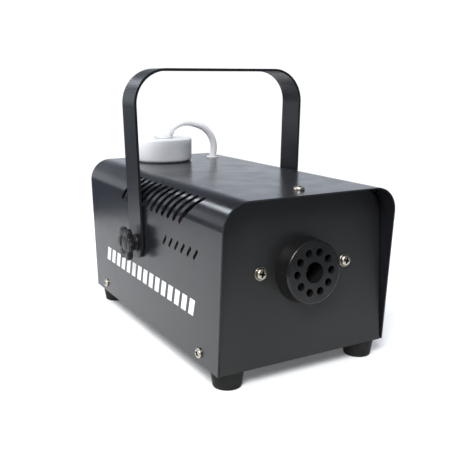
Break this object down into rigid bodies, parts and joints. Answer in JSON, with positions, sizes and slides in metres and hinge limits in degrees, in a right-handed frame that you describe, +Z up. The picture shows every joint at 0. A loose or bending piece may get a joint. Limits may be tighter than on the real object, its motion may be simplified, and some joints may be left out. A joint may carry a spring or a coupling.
{
  "type": "fog machine",
  "caption": "Compact stage fog machine: folded steel case with slanted vents, heated nozzle behind a drilled cap, screw-capped fluid tank with hose, tilting handle with star knobs",
  "frame": {"origin": "on the floor under the middle of the case's base plate, centred in X and midway between the case's ends", "axes": "+Z up, -Y the way the nozzle blows, +X to the right when looking at the nozzle"},
  "size_m": [0.1678, 0.2574, 0.213],
  "materials": {
    "black_paint": "semi-matte fine-texture powder coat",
    "black_plastic": "fine moulded grain",
    "black_rubber": "matte moulded",
    "brass": "turned",
    "cast_aluminium": "as cast",
    "circuit_green": "fibre board with solder mask",
    "clear_hose": "translucent silicone",
    "copper_winding": "taped winding",
    "fuse_glass": "clear tube",
    "glass_wool": "woven glass fibre",
    "gloss_black": "smooth moulded",
    "grey_sleeve": "glass fibre sleeve",
    "nickel_steel": "nickel plated",
    "phenolic": "moulded thermoset",
    "red_silicone": "silicone insulation",
    "relay_blue": "moulded case",
    "terminal_green": "moulded",
    "white_plastic": "natural translucent polyethylene",
    "zinc_steel": "zinc plated"
  },
  "bodies": {
    "housing": {"board_posts": "white_plastic", "cap_elbow": "white_plastic", "chassis": "black_paint", "circuit_board": "circuit_green", "foot_nuts": "zinc_steel", "foot_screws": "zinc_steel", "front_screw_washers": "nickel_steel", "front_screws": "nickel_steel", "fuse": "fuse_glass", "fuse_holder": "gloss_black", "handle_nuts": "zinc_steel", "handle_washers": "black_rubber", "heat_shield": "zinc_steel", "heater_block": "cast_aluminium", "heater_brackets": "zinc_steel", "heater_inlet_fitting": "brass", "heater_insulation": "glass_wool", "heater_leads": "red_silicone", "heater_screws": "zinc_steel", "heating_element": "zinc_steel", "inlet_pins": "brass", "mains_lead": "grey_sleeve", "nozzle": "brass", "nozzle_cap": "gloss_black", "pickup_filter": "white_plastic", "pickup_tube": "white_plastic", "power_inlet": "gloss_black", "pump_bracket": "zinc_steel", "pump_coil": "copper_winding", "pump_core_tube": "brass", "pump_inlet_head": "brass", "pump_inlet_hose": "clear_hose", "pump_lead": "red_silicone", "pump_mounts": "black_rubber", "pump_valve_body": "black_plastic", "pump_yoke": "zinc_steel", "relay": "relay_blue", "remote_socket": "gloss_black", "roof_grommet": "white_plastic", "roof_screw": "nickel_steel", "rubber_feet": "black_rubber", "side_screws": "nickel_steel", "supply_hose": "clear_hose", "switch_body": "gloss_black", "tank_bottle": "white_plastic", "tank_tray": "zinc_steel", "terminal_block": "terminal_green", "thermostats": "phenolic", "top_cover": "black_paint", "vapour_tube": "brass"},
    "handle": {"handle": "black_paint"},
    "knob_left": {"knob_left": "black_plastic"},
    "knob_right": {"knob_right": "black_plastic"},
    "tank_cap": {"tank_cap": "white_plastic", "cap_gasket": "black_rubber"},
    "switch_rocker": {"switch_rocker": "gloss_black"},
    "fuse_cap": {"fuse_cap": "gloss_black"},
    "pump_plunger": {"pump_plunger": "zinc_steel", "pump_spring": "zinc_steel"}
  },
  "joints": [
    {"name": "handle_tilt", "type": "hinge", "parent": "housing", "child": "handle", "pos_m": [0, 0.0125, 0.077], "axis": [1, 0, 0], "range_deg": [-108, 56]},
    {"name": "knob_left_turn", "type": "hinge", "parent": "housing", "child": "knob_left", "pos_m": [-0.08, 0.0125, 0.077], "axis": [-1, 0, 0], "continuous": true},
    {"name": "knob_right_turn", "type": "hinge", "parent": "housing", "child": "knob_right", "pos_m": [0.08, 0.0125, 0.077], "axis": [1, 0, 0], "continuous": true},
    {"name": "tank_cap_turn", "type": "hinge", "parent": "housing", "child": "tank_cap", "pos_m": [-0.012, 0.0925, 0.14], "axis": [0, 0, 1], "range_deg": [0, 540]},
    {"name": "switch_rock", "type": "hinge", "parent": "housing", "child": "switch_rocker", "pos_m": [0.048, 0.1175, 0.0685], "axis": [1, 0, 0], "range_deg": [0, 16]},
    {"name": "fuse_cap_turn", "type": "hinge", "parent": "housing", "child": "fuse_cap", "pos_m": [0.048, 0.123, 0.092], "axis": [0, 1, 0], "range_deg": [0, 90]},
    {"name": "pump_stroke", "type": "slide", "parent": "housing", "child": "pump_plunger", "axis": [0, 0, -1], "range_m": [0, 0.003], "stiffness_N_per_m": 900, "deforming": ["pump_spring"]}
  ]
}
